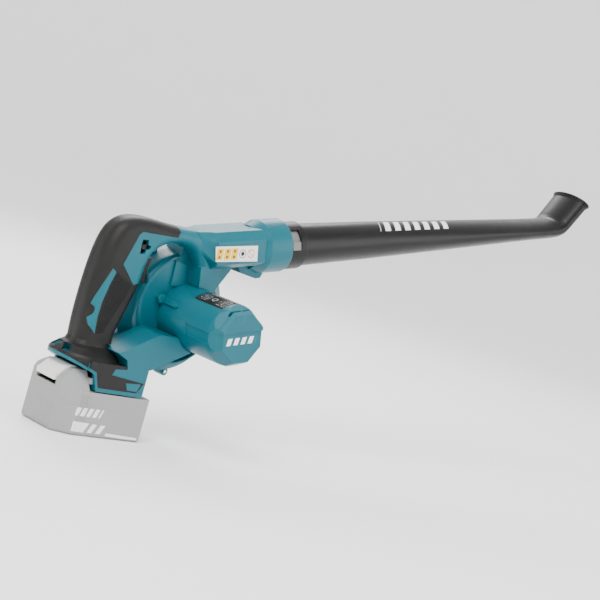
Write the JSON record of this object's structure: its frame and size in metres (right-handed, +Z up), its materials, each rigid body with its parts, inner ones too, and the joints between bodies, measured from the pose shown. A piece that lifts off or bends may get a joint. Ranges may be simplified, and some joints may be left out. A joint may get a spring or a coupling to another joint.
{
  "type": "leaf blower",
  "caption": "Hand-held cordless leaf blower with a fan drum, side motor, rubber grip, slide-on battery and a long tapering nozzle with an upturned oval tip.",
  "frame": {"origin": "middle of the battery's flat bottom face", "axes": "+X forward towards the nozzle, +Y to the tool's left where the air goes in, +Z up; the motor points along -Y"},
  "size_m": [0.7434, 0.1509, 0.3853],
  "materials": {
    "shell": "satin teal moulded plastic",
    "soft_grip": "matt charcoal soft rubber",
    "black_plastic": "fine-grained black plastic",
    "grey_plastic": "light grey plastic",
    "pack_plastic": "pale grey plastic",
    "latch_plastic": "off-white plastic",
    "label_white": "printed white label",
    "label_black": "printed black label",
    "steel": "zinc-plated steel",
    "spring_steel": "spring steel",
    "magnet": "sintered ferrite",
    "lamination": "stacked laminations",
    "copper": "enamelled copper",
    "brass": "stamped brass",
    "carbon": "sintered carbon",
    "circuit_board": "solder-masked board",
    "cell_sleeve": "shrink-sleeved cell"
  },
  "bodies": {
    "housing": {"housing_right": "shell", "housing_left": "shell", "grip_rubber_right": "soft_grip", "grip_rubber_left": "soft_grip", "fan_cover": "shell", "intake_grille": "black_plastic", "motor_cover_upper": "shell", "motor_cover_lower": "shell", "rating_label": "label_black", "warning_label": "label_white", "outlet_ring": "grey_plastic", "shell_screws": "steel", "cover_screws": "steel", "switch_module": "black_plastic", "trigger_spring": "spring_steel", "lever_plate": "black_plastic", "control_board": "circuit_board", "terminal_block": "black_plastic", "terminal_blades": "brass", "motor_can": "steel", "motor_mount_rings": "black_plastic", "motor_magnets": "magnet", "front_bearing": "steel", "rear_bearing": "steel", "motor_end_bell": "black_plastic", "brush_holders": "brass", "motor_brushes": "carbon", "brush_spring_front": "spring_steel", "brush_spring_rear": "spring_steel"},
    "rotor": {"rotor_shaft": "steel", "armature_core": "lamination", "armature_windings": "copper", "commutator": "copper", "fan_wheel": "black_plastic", "fan_nut": "steel"},
    "trigger": {"trigger": "black_plastic"},
    "speed_lever": {"speed_lever": "black_plastic"},
    "nozzle": {"nozzle_collar": "black_plastic", "nozzle_tube": "black_plastic"},
    "battery": {"battery_case_lower": "pack_plastic", "battery_case_upper": "pack_plastic", "battery_cells": "cell_sleeve", "battery_board": "circuit_board", "battery_contacts": "brass", "latch_spring": "spring_steel"},
    "battery_latch": {"battery_latch": "latch_plastic"}
  },
  "joints": [
    {"name": "fan_spin", "type": "hinge", "parent": "housing", "child": "rotor", "pos_m": [0.096, 0, 0.1388], "axis": [0, 1, 0], "continuous": true},
    {"name": "trigger_pull", "type": "slide", "parent": "housing", "child": "trigger", "axis": [-1, 0, 0], "range_m": [0, 0.006], "stiffness_N_per_m": 900, "springref_m": -0.002, "deforming": ["trigger_spring"]},
    {"name": "speed_lever_slide", "type": "slide", "parent": "housing", "child": "speed_lever", "axis": [0, 0, 1], "range_m": [-0.0022, 0.0022]},
    {"name": "nozzle_twist", "type": "hinge", "parent": "housing", "child": "nozzle", "pos_m": [0.21241, 0, 0.23674], "axis": [0.9744, 0, 0.225], "range_deg": [0, 30]},
    {"name": "battery_slide", "type": "slide", "parent": "housing", "child": "battery", "axis": [-1, 0, 0], "range_m": [0, 0.11]},
    {"name": "latch_press", "type": "slide", "parent": "battery", "child": "battery_latch", "axis": [0, 0, -1], "range_m": [0, 0.004], "stiffness_N_per_m": 1200, "springref_m": -0.002, "deforming": ["latch_spring"]}
  ]
}
